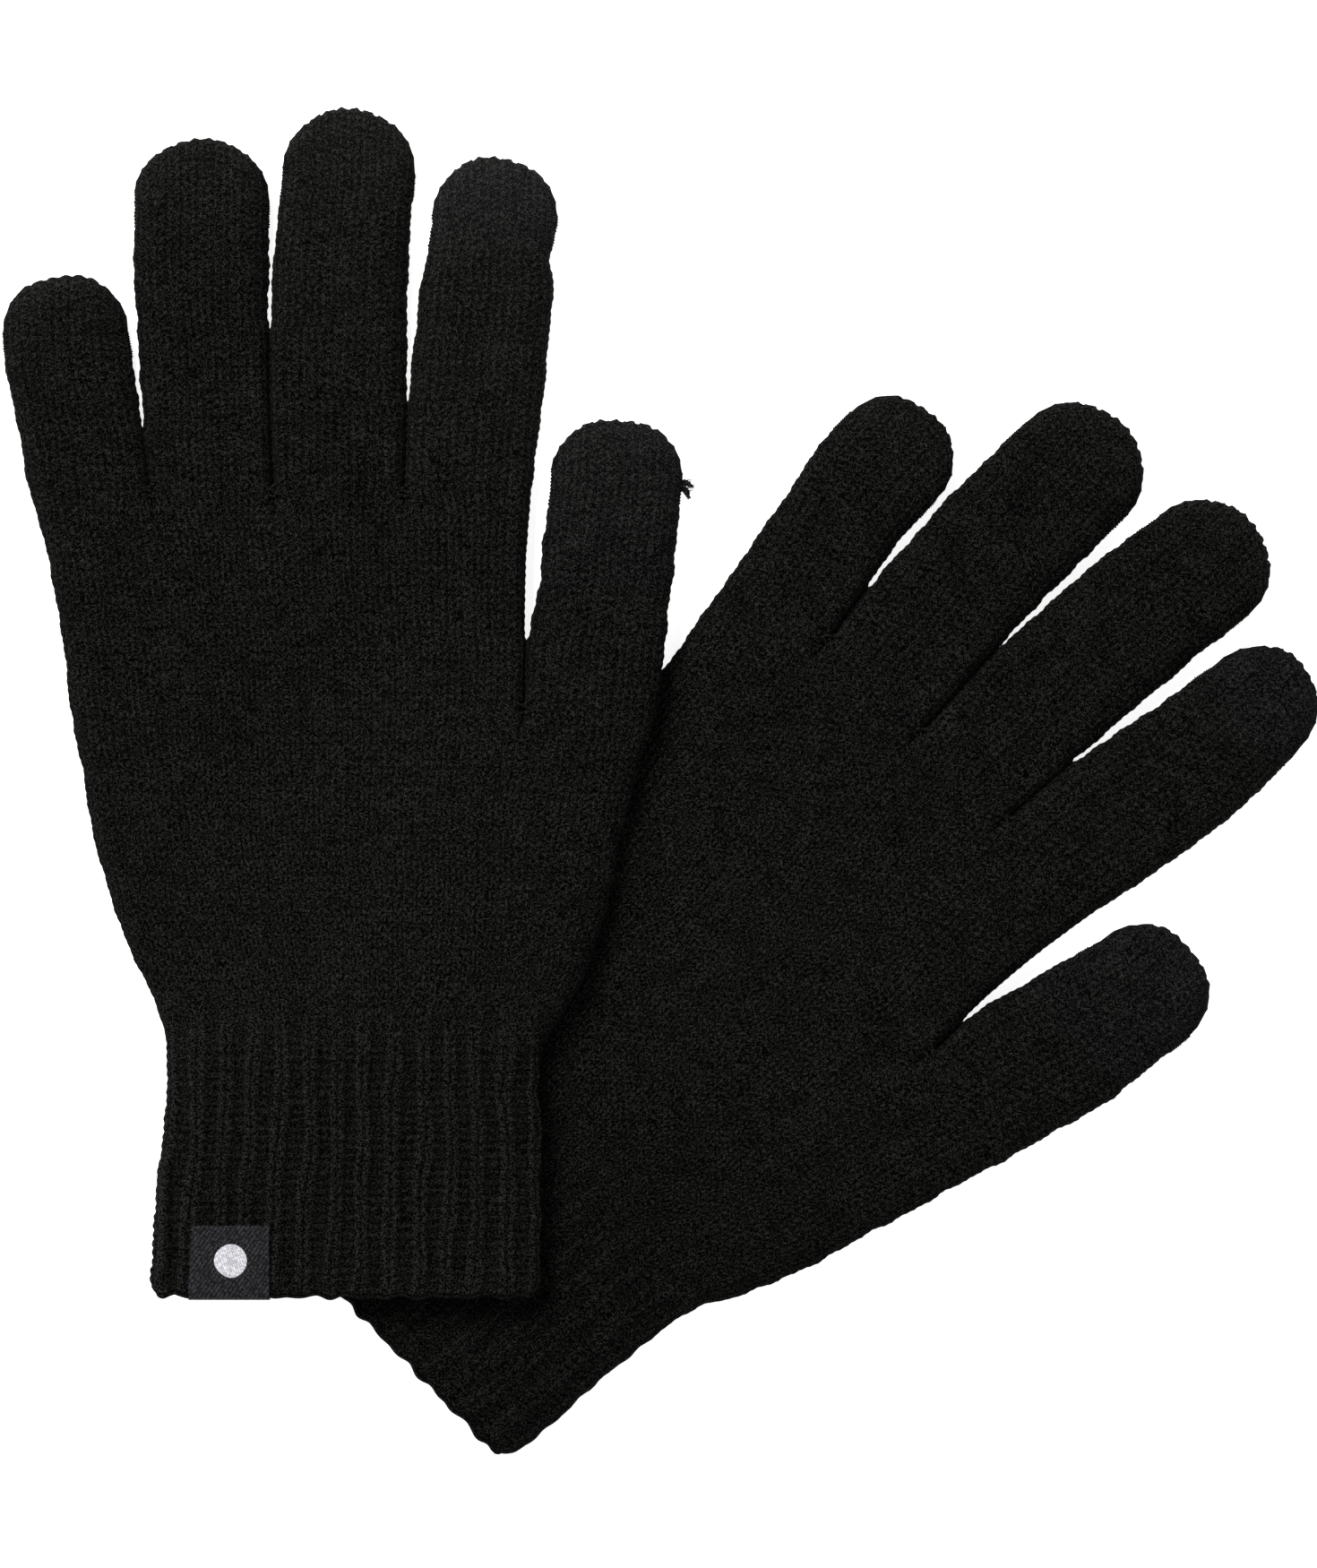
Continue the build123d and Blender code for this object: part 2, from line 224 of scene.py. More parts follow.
def drape(glove, x, y):
    """Height of what the glove lies on."""
    if glove["name"] == "lower":
        return np.zeros_like(x)
    s = (y - FOLD_Y) * math.cos(FOLD_TURN) - (x - FOLD_X) * math.sin(FOLD_TURN)
    spread = (-0.5, -0.25, 0, 0.25, 0.5)
    soft = sum(np.clip(1 - (s + SLOPE_SOFT * k) / SLOPE_LENGTH, 0, 1) for k in spread) / 5
    return LIFT * soft


# ---------------------------------------------------------------- knit surface
def across(left, right, left_crease, right_crease, height, left_radius, right_radius, columns):
    """Rows of points (x, z) over one bundle of wales, evenly spaced along the surface."""
    theta = np.linspace(0, np.pi, 161)
    left, right = left[:, None], right[:, None]
    x = (left + right) / 2 - (right - left) / 2 * np.cos(theta)
    z = (1 - left_crease[:, None] * (1 - round_over((x - left) / left_radius[:, None])))
    z = height * z * (1 - right_crease[:, None] * (1 - round_over((right - x) / right_radius[:, None])))
    step = np.hypot(np.diff(x, axis=1), np.diff(z, axis=1))
    length = np.concatenate([np.zeros_like(left), np.cumsum(step, 1)], 1)
    share = np.linspace(0, 1, columns + 1)
    xs = np.array([np.interp(share * l[-1], l, a) for l, a in zip(length, x)])
    zs = np.array([np.interp(share * l[-1], l, a) for l, a in zip(length, z)])
    return xs, zs, length[:, -1]


def levels(low, high):
    return np.linspace(low, high, max(2, round((high - low) / ROW)) + 1)


def cuff_levels(glove):
    """Mesh rows of the cuff; the rounded edge of the hem comes before the first."""
    return levels(glove["hem"] + LAYER / 2, CUFF_LENGTH)


def stitches(w, c):
    """Height of plain knit, 0 to 1, at wale w and course c: two slanted legs make each V."""
    a = w - np.floor(w)
    legs = 0.08 * (1 - np.cos(2 * np.pi * a)) / 2 + 0.92 * np.abs(np.sin(2 * np.pi * a)) ** 0.9
    strand = 0.5 + 0.5 * np.cos(2 * np.pi * (c - 0.75 * np.abs(2 * a - 1)))
    return legs * (0.38 + 0.62 * strand)


def rib_profile(p):
    return (0.5 - 0.5 * np.cos(2 * np.pi * p)) ** 0.85


def ribs(p, c):
    """Height of the rib in millimetres, and how light its stitches are painted from 0 to 1, with painted
    shade in the hollows, at rib p and course c.
    """
    raised = rib_profile(p)
    across_rib = np.clip((p - np.floor(p) - 0.2) / 0.6, 0, 0.999)
    braid = stitches(across_rib, c * RIB_COURSE) * smoothstep((raised - 0.2) / 0.4)
    purl = (0.5 + 0.5 * np.cos(2 * np.pi * (c * RIB_COURSE + 0.5))) * (1 - raised)
    height = RIB_DEPTH * (raised - 0.5) + BRAID * braid + PURL_BAR * purl
    return height, BRAID_SHADE * braid + PURL_SHADE * purl + 0.20 - 0.10 * raised


def gap_sides(glove, finger, y):
    """Both sides of the gap beyond a finger, towards the thumb, and how far they are apart (0 to 1)."""
    following = ("little", "ring", "middle", "index", "thumb")
    following = following[following.index(finger) + 1]
    near = glove["crotch_side"] if finger == "index" else glove["fingers"][finger][1]
    start = near[0][0]
    half = 0.15 * smoothstep((y - start) / 2.5)
    near, far = smooth_line(near, y) - half, smooth_line(glove["fingers"][following][0], y) + half
    apart = smoothstep((y - glove["closed"][finger] + 1) / 2.5)
    middle = (near + far) / 2
    clear = KEPT_APART * (y > start)
    return middle + (near - middle) * apart - clear, middle + (far - middle) * apart + clear, apart


def hand_lines(glove, y):
    """The five lines between the bundles of wales, and the thumb side, at levels y."""
    corner = glove["corner"] * (1 - round_over((y - glove["hem"]) / glove["corner"]))
    left = smooth_line(glove["left"], y) + wobble(glove, 1, y) + corner
    right = smooth_line(glove["right"], y) + wobble(glove, 2, y) - corner
    line = THUMB_LINE
    top_left, top_right = glove["left"][-1][1], glove["crotch_side"][-1][1]
    at_thumb = smooth_line(glove["left"], np.array([line]))[0]
    share_low = sum(WALES[f] for f in FOUR) / sum(WALES.values())
    share_high = (glove["crotch_side"][0][1] - at_thumb) / (glove["right"][-1][1] - at_thumb)
    share = share_low + (share_high - share_low) * np.clip(y / line, 0, 1)
    four = np.where(y < line, left + (right - left) * share, gap_sides(glove, "index", y)[0])
    lines, wales = [left], 0
    for name, following in zip(FOUR, FOUR[1:]):
        wales += WALES[name]
        low = wales / sum(WALES[f] for f in FOUR)
        high = (glove["fingers"][following][0][0][1] - top_left) / (top_right - top_left)
        lines.append(left + (four - left) * (low + (high - low) * smoothstep(y / KNUCKLE_LINE)))
    return [*lines, four, right]


def crease(y, line):
    return smoothstep((y - line + CREASE_FADE) / CREASE_FADE) ** 1.5


def bundle(glove, name, face):
    """Grid of one finger's bundle of wales on one face, from the hem to the fingertip."""
    upper = face == "top"
    height, radius = (TOP, TOP_ROUND) if upper else (BOTTOM, BOTTOM_ROUND)
    columns = WALES[name] * (WALE if upper else WALE // 2)
    thumb = name == "thumb"
    start = THUMB_LINE if thumb else KNUCKLE_LINE
    left_side, right_side, end = glove["fingers"][name]
    level = left_side[-1][0]
    tip_start = level - TIP_ZONE
    hand = [cuff_levels(glove), levels(CUFF_LENGTH, THUMB_LINE)[1:]]
    if not thumb:
        hand.append(levels(THUMB_LINE, KNUCKLE_LINE)[1:])
    hand = np.concatenate(hand)
    lines = hand_lines(glove, hand)
    place = 4 if thumb else FOUR.index(name)
    one = np.ones_like(hand)
    if thumb:
        creases = crease(hand, THUMB_LINE), one
    else:
        at_four = np.where(hand < THUMB_LINE, crease(hand, THUMB_LINE), 1)
        inner = crease(hand, KNUCKLE_LINE)
        creases = (one if place == 0 else inner), (at_four if place == 3 else inner)
    outside = np.full(len(hand), radius)
    left_radius = outside if place == 0 else outside * PRESSED
    right_radius = outside if thumb else outside * PRESSED
    x, z, length = across(lines[place], lines[place + 1], *creases, height, left_radius, right_radius,
                          columns)
    finger = levels(start, tip_start)[1:]
    outer = list(glove["fingers"]).index(name)
    grown = smoothstep((finger - start) / 6)
    left_apart = right_apart = np.ones_like(finger)
    if name == "little":
        left = smooth_line(left_side, finger) + wobble(glove, 1, finger)
    else:
        _, left, left_apart = gap_sides(glove, list(WALES)[outer - 1], finger)
        left = left + wobble(glove, 10 + outer, finger) * grown * left_apart
    if thumb:
        right = smooth_line(right_side, finger) + wobble(glove, 2, finger)
    elif name == "index":
        right = smooth_line(right_side, finger) - 0.15 * grown + wobble(glove, 24, finger) * grown
        right_apart = smoothstep((finger - start) / FINGER_EASE)
    else:
        right, _, right_apart = gap_sides(glove, name, finger)
        right = right + wobble(glove, 20 + outer, finger) * grown * right_apart
    one = np.ones_like(finger)
    eased = smoothstep((finger - start) / FINGER_EASE)
    left_radius = radius * (PRESSED + (1 - PRESSED) * np.minimum(left_apart, eased))
    right_radius = radius * (PRESSED + (1 - PRESSED) * np.minimum(right_apart, eased))
    if name == "little":
        left_radius = radius * one
    if thumb:
        right_radius = radius * one
    x2, z2, _ = across(left, right, one, one, height, left_radius, right_radius, columns)
    straight = np.concatenate([hand, finger])
    x, z = np.concatenate([x, x2]), np.concatenate([z, z2])
    y = np.repeat(straight[:, None], columns + 1, 1)

    # the round end: columns stay parallel and stop at the outline
    at_tip = np.array([tip_start])
    left, right = smooth_line(left_side, at_tip), smooth_line(right_side, at_tip)
    sigma = (x[-1] - (left + right) / 2) / ((right - left) / 2 - 0.15)
    reach = level + (end - level) * np.clip(1 - np.abs(sigma) ** TIP_SQUARE, 0, 1) ** (1 / TIP_SQUARE)
    loops = np.abs(np.sin(np.pi * WALES[name] * (sigma + 1) / 2)) - 0.5 + 0.5 * np.sin(5.1 * sigma + outer)
    reach = reach + TIP_LOOPS * loops * (1 - np.clip(np.abs(sigma), 0, 1) ** 6)
    dense = np.linspace(0, 1, 400) ** 0.5
    drop = height * round_over((1 - dense) / TIP_ROUND)
    run = np.concatenate([[0], np.cumsum(np.hypot(np.diff(dense) * (end - tip_start), np.diff(drop)))])
    count = round(run[-1] / ROW)
    tau = np.interp(np.linspace(0, run[-1], count + 1), run, dense)[1:, None]
    ty = tip_start + (reach - tip_start) * tau
    tl, tr = smooth_line(left_side, ty), smooth_line(right_side, ty)
    tx = (tl + tr) / 2 + ((tr - tl) / 2 - 0.15) * sigma
    tz = z[-1] * round_over((1 - tau) / TIP_ROUND)
    along = np.linspace(0, run[-1], count + 1)[1:, None] + tip_start
    v = np.concatenate([y, np.repeat(along, columns + 1, 1)])
    x, y, z = np.concatenate([x, tx]), np.concatenate([y, ty]), np.concatenate([z, tz])
    w = np.repeat(np.arange(columns + 1)[None] / (WALE if upper else WALE // 2), len(x), 0) + 0.25
    touch = np.interp(v, *np.array(TONE[glove["name"]][name], float).T)
    # painted shade: the cuff value darkens the cuff, fading out towards the palm
    touch = touch + glove["cuff_painted_shade"] * (1 - smoothstep((v - CUFF_LENGTH + 8) / 50))
    return {"name": name, "upper": upper, "x": x, "y": y, "z": z, "w": w, "v": v, "hand_rows": len(hand),
            "length": length, "start": start, "touch": touch}


def surface(glove):
    """Every bundle of a glove, with its base shape, its normals and the height of its stitches."""
    rng = np.random.RandomState(glove["seed"])
    grids = [bundle(glove, name, face) for name in WALES for face in ("top", "bottom")]
    waves = [(rng.uniform(0, math.pi), rng.uniform(24, 62), rng.uniform(0, 6.28), rng.uniform(0.06, 0.2))
             for _ in range(9)]
    for face in (True, False):
        total, before = 0, {}
        for g in (g for g in grids if g["upper"] == face):
            rows = min(g["hand_rows"], len(cuff_levels(glove)) + 60)
            before[g["name"]] = total
            total = total + g["length"][:rows]
        for g in (g for g in grids if g["upper"] == face):
            rows = len(total)
            share = np.linspace(0, 1, g["x"].shape[1])[None]
            start = before[g["name"]]
            start = start[:, None] if isinstance(start, np.ndarray) else start
            g["rib"] = RIBS * (start + g["length"][:rows, None] * share) / total[:, None]
        same = [g for g in grids if g["upper"] == face]
        wrist = int(np.argmin(np.abs(same[0]["y"][:, 0] - WRIST)))
        level_x = np.concatenate([g["x"][wrist] for g in same])
        level_rib = np.concatenate([g["rib"][wrist] for g in same])
        for g in same:
            g["rib"][wrist:] = np.interp(g["x"][wrist:len(total)], level_x, level_rib)
            line = g["rib"]
            level = g["y"][:len(total)]
            sway = (0.06 * np.sin(1.7 * line + 0.9) + 0.05 * np.sin(level / 9 + 1.3 * line)
                    + 0.04 * np.sin(level / 4.3 + 2.9 * line))
            g["rib"] = line + sway * np.clip(line * (RIBS - line) / 4, 0, 1)
    for g in grids:
        x, y, z = g["x"], g["y"], g["z"]
        full = z / (TOP if g["upper"] else BOTTOM)
        if g["upper"]:
            swell = sum(a * np.sin((x * np.cos(t) + y * np.sin(t)) * 2 * math.pi / l + p)
                        for t, l, p, a in waves)
            height = RIM + z + swell * full
        else:
            height = RIM - z
        height = height + drape(glove, x, y)
        base = np.stack([x, y, height], -1)
        across_, along = np.gradient(base, axis=1), np.gradient(base, axis=0)
        normal = np.cross(across_, along) * (1 if g["upper"] else -1)
        normal /= np.linalg.norm(normal, axis=2, keepdims=True) + 1e-12
        course = g["v"] / COURSE
        cell = (4, WALE if g["upper"] else WALE // 2)
        shift = 0.05 * field(rng, x.shape, (24, 3 * cell[1])) * np.sin(np.pi * g["w"] / g["w"].max())
        uneven = 1 + 0.28 * field(rng, x.shape, cell)
        drift = 0.10 * field(rng, x.shape, (8, 2 * cell[1]))
        plain = STITCH_DEPTH * uneven * stitches(g["w"] + shift, course + drift)
        relief = plain
        rows = g["rib"].shape[0]
        in_cuff = 1 - smoothstep((y[:rows] - CUFF_LENGTH + 9) / CUFF_BLEND)
        rib, woven = ribs(g["rib"], course[:rows])
        flat = glove["rib_depth"] * (0.3 + 0.7 * smoothstep((y[:rows] - glove["hem"] - 0.9) / 3))
        rib = rib * flat + 0.3 * (1 - flat) * plain[:rows]
        woven = woven * flat + 0.9 * (1 - flat) * plain[:rows] / STITCH_DEPTH
        rib = rib * (1 + 0.25 * np.sin(2.1 * g["rib"] + y[:rows] / 17)
                     + 0.15 * np.sin(5.3 * g["rib"] - y[:rows] / 11))
        # recess: how high a point stands among its stitches; the material paints shade on the low ones
        g["recess"] = plain / STITCH_DEPTH
        g["recess"][:rows] = g["recess"][:rows] * (1 - in_cuff) + woven * in_cuff
        if g["upper"] and g["name"] == "little":
            inwards = x[:rows] - x[:rows, :1]
            fold = smoothstep((FOLD_END - y[:rows]) / 12) * glove["folded_rib"]
            edge = 0.4 + FOLD_IN * smoothstep((FOLD_END - y[:rows]) / 26)
            ridge = np.exp(-(((inwards - edge) / 0.8) ** 2)) * fold
            groove = np.exp(-(((inwards - edge - 2.0) / 0.55) ** 2)) * fold
            rib = rib * (1 - 0.8 * np.maximum(ridge, groove)) + 0.4 * ridge - 0.4 * groove
            # painted shade in the fold's groove and a painted highlight on its ridge
            g["recess"][:rows] = g["recess"][:rows] * (1 - 0.45 * groove) + 0.3 * ridge
        relief[:rows] = plain[:rows] * (1 - in_cuff) + rib * in_cuff
        if not g["upper"]:
            relief *= UNDER
        ends = smoothstep(np.minimum(g["rib"], RIBS - g["rib"]) / 1.2)
        hem = np.exp(-((y[:rows] - glove["hem"]) / HEM_REACH) ** 2) * ends
        base[:rows, :, 1] -= HEM_WAVE * (rib_profile(g["rib"]) - 0.5 + 0.5 * np.sin(4.1 * g["rib"])) * hem
        g["base"], g["relief"] = base, relief
        g["normal"] = normal
    return grids


def weld(grids):
    """Puts the grids in one list of vertices, joined where they meet, with the stitches raised."""
    base = np.concatenate([g["base"].reshape(-1, 3) for g in grids])
    normal = np.concatenate([g["normal"].reshape(-1, 3) for g in grids])
    relief = np.concatenate([g["relief"].ravel() for g in grids])
    _, index = np.unique(np.round(base, 3), axis=0, return_inverse=True)
    index = index.ravel()
    count = np.bincount(index)
    mean = np.stack([np.bincount(index, normal[:, k]) for k in range(3)], 1) / count[:, None]
    mean /= np.linalg.norm(mean, axis=1, keepdims=True) + 1e-9
    level = np.bincount(index, relief) / count
    place = np.stack([np.bincount(index, base[:, k]) for k in range(3)], 1) / count[:, None]
    values = {key: np.bincount(index, np.concatenate([g[key].ravel() for g in grids])) / count
              for key in ("recess", "touch")}
    return place + mean * level[:, None], mean, values, index


def mouth(glove, grids, offsets, verts, normals, index, first):
    """The hem's rounded edge and the inside of the cuff, as more vertices and quads."""
    rows = len(cuff_levels(glove))
    loops = []
    for row in (0, *range(6, rows, 6)):
        ids = []
        for upper in (True, False):
            line = []
            for g, offset in zip(grids, offsets):
                if g["upper"] == upper:
                    c = g["x"].shape[1]
                    line.extend(index[offset + row * c + np.arange(c)])
            ids.extend(line if upper else line[::-1])
        ids = np.array(ids)
        loops.append(ids[np.concatenate([[True], ids[1:] != ids[:-1]])][:-1])
    outer = verts[loops[0]]
    flat = normals * (1, 0, 1)
    flat /= np.linalg.norm(flat, axis=1, keepdims=True) + 1e-9
    inner = [verts[ids] - flat[ids] * LAYER for ids in loops]
    middle, half = (outer + inner[0]) / 2, (outer - inner[0]) / 2
    thick = np.linalg.norm(half, axis=1, keepdims=True)
    rings = [middle + half * math.cos(t) - thick * math.sin(t) * np.array([0, 1, 0])
             for t in np.linspace(0, math.pi, 7)[1:-1]] + inner
    count = len(outer)
    ids = [loops[0]] + [first + count * k + np.arange(count) for k in range(len(rings))]
    quads = [np.stack([a, np.roll(a, -1), np.roll(b, -1), b], 1) for a, b in zip(ids, ids[1:])]
    return np.concatenate(rings), np.concatenate(quads)


def quads_of(grid, offset, rows, index):
    """Quads between mesh rows rows[0] and rows[1] of a grid."""
    r, c = grid["x"].shape
    ids = index[offset + np.arange(r * c)].reshape(r, c)[rows[0]:rows[1] + 1]
    q = np.stack([ids[:-1, :-1], ids[:-1, 1:], ids[1:, 1:], ids[1:, :-1]], -1).reshape(-1, 4)
    return q if grid["upper"] else q[:, ::-1]


def write_mesh(name, verts, quads, values=None):
    used, faces = np.unique(quads, return_inverse=True)
    faces = faces.reshape(-1, 4)
    mesh = bpy.data.meshes.new(name)
    corners = [list(dict.fromkeys(f)) for f in faces.tolist() if len(set(f)) > 2]
    mesh.from_pydata((verts[used] * MM).tolist(), [], corners)
    mesh.update()
    mesh.polygons.foreach_set("use_smooth", np.ones(len(mesh.polygons), bool))
    for key, value in (values or {}).items():
        mesh.attributes.new(key, "FLOAT", "POINT").data.foreach_set("value", value[used].astype(np.float32))
    obj = bpy.data.objects.new(name, mesh)
    bpy.context.scene.collection.objects.link(obj)
    return obj


# ---------------------------------------------------------------- materials
YARN_DARK, YARN_LIGHT = 0.0, 4.6       # the darkest and lightest tone of grain and painted shade together, as shares of a yarn's colour
FIBRE_SCALE, FINE_SCALE, PATCH_SCALE = 2700.0, 5200.0, 110.0
TONE_SHADE_GRAIN, TONE_SHADE_GAIN = 0.12, 0.45   # what one unit of the tone attribute adds to the grain and to the brightness; its negative values on the lower cuff are painted shade
FINE_IN_BUMP = 0.35


def node(tree, kind, **values):
    made = tree.nodes.new(kind)
    for key, value in values.items():
        if hasattr(made, key):
            setattr(made, key, value)
        else:
            made.inputs[key.replace("_", " ")].default_value = value
    return made


def knit_material(name, colour, seed):
    """Dull spun yarn: painted shade in the hollows between stitches and on the lower cuff, with uneven dye
    and fine fibres.
    """
    material = bpy.data.materials.new(name)
    material.use_nodes = True
    tree = material.node_tree
    links = tree.links
    shader = tree.nodes["Principled BSDF"]
    place = node(tree, "ShaderNodeTexCoord")
    recess = node(tree, "ShaderNodeAttribute", attribute_name="recess")
    touch = node(tree, "ShaderNodeAttribute", attribute_name="touch")
    fibre = node(tree, "ShaderNodeTexNoise", Scale=FIBRE_SCALE, Detail=2.0, Roughness=0.8)
    fine = node(tree, "ShaderNodeTexNoise", Scale=FINE_SCALE, Detail=2.0, Roughness=0.6)
    patch = node(tree, "ShaderNodeTexNoise", Scale=PATCH_SCALE + seed, Detail=5.0, Roughness=0.65)
    for texture in (fibre, fine, patch):
        links.new(place.outputs["Object"], texture.inputs["Vector"])
    grain = node(tree, "ShaderNodeMapRange", From_Min=0.465, From_Max=0.57, To_Min=0.0, To_Max=1.0)
    links.new(fibre.outputs["Fac"], grain.inputs["Value"])
    factor = node(tree, "ShaderNodeMath", operation="MULTIPLY")
    # painted shade: the recess attribute darkens the hollows between stitches and between ribs
    lit = node(tree, "ShaderNodeMapRange", From_Min=0.05, From_Max=0.70, To_Min=0.08, To_Max=1.0)
    links.new(recess.outputs["Fac"], lit.inputs["Value"])
    links.new(grain.outputs["Result"], factor.inputs[0])
    links.new(lit.outputs["Result"], factor.inputs[1])
    tone = node(tree, "ShaderNodeMix", data_type="RGBA", blend_type="MIX")
    tone.inputs["A"].default_value = (*[c * YARN_DARK for c in colour], 1)
    tone.inputs["B"].default_value = (*[c * YARN_LIGHT for c in colour], 1)
    # the tone attribute lightens the fingertips and adds painted shade on the lower cuff
    shaded_tone_factor = node(tree, "ShaderNodeMath", operation="MULTIPLY_ADD")
    shaded_tone_factor.inputs[1].default_value = TONE_SHADE_GRAIN
    links.new(touch.outputs["Fac"], shaded_tone_factor.inputs[0])
    links.new(factor.outputs["Value"], shaded_tone_factor.inputs[2])
    links.new(shaded_tone_factor.outputs["Value"], tone.inputs["Factor"])
    shade = node(tree, "ShaderNodeMapRange", From_Min=0.3, From_Max=0.7, To_Min=0.88, To_Max=1.12)
    links.new(patch.outputs["Fac"], shade.inputs["Value"])
    # brightness from uneven dye, plus the tone attribute: lighter fingertips, and painted shade on the lower
    # cuff
    gain = node(tree, "ShaderNodeMath", operation="MULTIPLY_ADD")
    gain.inputs[1].default_value = TONE_SHADE_GAIN
    links.new(touch.outputs["Fac"], gain.inputs[0])
    links.new(shade.outputs["Result"], gain.inputs[2])
    dye = node(tree, "ShaderNodeMix", data_type="RGBA", blend_type="MULTIPLY", Factor=1.0)
    links.new(tone.outputs["Result"], dye.inputs["A"])
    links.new(gain.outputs["Value"], dye.inputs["B"])
    links.new(dye.outputs["Result"], shader.inputs["Base Color"])
    rough = node(tree, "ShaderNodeMapRange", From_Min=0.3, From_Max=0.7, To_Min=0.82, To_Max=1.0)
    links.new(fine.outputs["Fac"], rough.inputs["Value"])
    links.new(rough.outputs["Result"], shader.inputs["Roughness"])
    height = node(tree, "ShaderNodeMath", operation="MULTIPLY_ADD")
    height.inputs[1].default_value = FINE_IN_BUMP
    links.new(fine.outputs["Fac"], height.inputs[0])
    links.new(fibre.outputs["Fac"], height.inputs[2])
    bump = node(tree, "ShaderNodeBump", Strength=1.0, Distance=0.0005)
    links.new(height.outputs["Value"], bump.inputs["Height"])
    links.new(bump.outputs["Normal"], shader.inputs["Normal"])
    shader.inputs["Specular IOR Level"].default_value = 0.015
    shader.inputs["Sheen Weight"].default_value = 0.006
    shader.inputs["Sheen Roughness"].default_value = 0.3
    return material


PLAIN = knit_material("black_knit", (0.0064, 0.0063, 0.0058), 0)
RIB = knit_material("black_rib", (0.0066, 0.0065, 0.0060), 7)
TOUCH_KNIT = knit_material("touch_knit", (0.0064, 0.0064, 0.0062), 3)


# ---------------------------------------------------------------- gloves
def joint_in_glove(glove, name):
    return to_glove(glove, JOINTS[name]["pos_m"])


def bend(piece):
    """Bakes the piece's placement into its mesh."""
    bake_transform(piece)


def build_glove(glove):
    """A glove's knitted pieces by name, and all its outer vertices in the glove's own frame."""
    grids = surface(glove)
    verts, normals, values, index = weld(grids)
    name = glove["name"]
    offsets = np.cumsum([0] + [g["x"].size for g in grids])
    inside, inside_quads = mouth(glove, grids, offsets, verts, normals, index, len(verts))
    parts = {"cuff": [inside_quads]}
    skin = verts
    verts = to_frame(glove, np.concatenate([verts, inside]))
    fill = {"recess": 0.5, "touch": 0.0}
    values = {key: np.concatenate([value, np.full(len(inside), fill[key])]) for key, value in values.items()}
    for g, offset in zip(grids, offsets):
        v = g["v"][:, 0]
        joint = joint_in_glove(glove, f"{name}_{g['name']}_middle_joint")[1] - FOLD_BEFORE - FOLD_SPARE
        end = glove["fingers"][g["name"]][2]
        cuts = [("cuff", -LAYER, CUFF_LENGTH), ("five_finger_palm", CUFF_LENGTH, THUMB_LINE)]
        if g["name"] != "thumb":
            cuts.append(("four_finger_palm", THUMB_LINE, KNUCKLE_LINE))
        cuts.append((g["name"] + "_base", g["start"], joint))
        if g["name"] == "index":
            cuts.append(("index_outer", joint, end - INDEX_TOUCH))
            cuts.append(("index_touch_end", end - INDEX_TOUCH, BEYOND))
        else:
            cuts.append((g["name"] + "_outer", joint, BEYOND))
        for part, low, high in cuts:
            first = int(np.argmin(np.abs(v - low)))
            last = int(np.argmin(np.abs(v - high)))
            parts.setdefault(part, []).append(quads_of(g, offset, (first, last), index))
    made = {}
    for part, quads in parts.items():
        made[part] = write_mesh(f"{name}_{part}_knit", verts, np.concatenate(quads), values)
    return made, skin


SKINS = {}
for glove in (LOWER, UPPER):
    name = glove["name"]
    pieces, skin = build_glove(glove)
    SKINS[name] = skin
    for part, obj in pieces.items():
        touch = part in ("index_touch_end", "thumb_outer")
        obj.data.materials.append(TOUCH_KNIT if touch else RIB if part == "cuff" else PLAIN)
        finger = part.split("_")[0]
        if part in ("cuff", "five_finger_palm", "four_finger_palm"):
            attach(obj, name + "_hand")
        elif part == "index_touch_end":
            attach(obj, f"{name}_index_tip")
        elif part.endswith("_base"):
            bend(obj)
        else:
            bend(obj)
    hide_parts(name + "_cuff_hem", name + "_cuff_rib")
    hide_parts(name + "_five_finger_palm")
    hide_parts(name + "_four_finger_palm")
    for finger in ("little", "ring", "middle"):
        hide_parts(f"{name}_{finger}_base")
        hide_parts(f"{name}_{finger}_tip")
    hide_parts(name + "_index_base")
    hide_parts(name + "_index_middle")
    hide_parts(name + "_index_touch_tip")
    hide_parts(name + "_thumb_base")
    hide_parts(name + "_thumb_touch_tip")


# ---------------------------------------------------------------- yarn ends and darned gaps
def tube(path, radius, sides=7):
    """A ring of points about each point of a path, and the quads between the rings."""
    path = np.asarray(path, float)
    along = np.gradient(path, axis=0)
    along /= np.linalg.norm(along, axis=1, keepdims=True)
    side = np.cross(along, (0.13, 0.21, 0.97))
    side /= np.linalg.norm(side, axis=1, keepdims=True)
    other = np.cross(along, side)
    t = np.arange(sides) * 2 * math.pi / sides
    size = radius * np.sqrt(np.clip(1 - np.linspace(-1, 1, len(path)) ** 8, 0.02, 1))[:, None, None]
    cos, sin = np.cos(t)[None, :, None], np.sin(t)[None, :, None]
    rings = path[:, None] + size * (side[:, None] * cos + other[:, None] * sin)
    ids = np.arange(rings.size // 3).reshape(len(path), sides)
    a, b = ids[:-1], ids[1:]
    quads = np.stack([a, b, np.roll(b, -1, 1), np.roll(a, -1, 1)], -1).reshape(-1, 4)
    return rings.reshape(-1, 3), quads


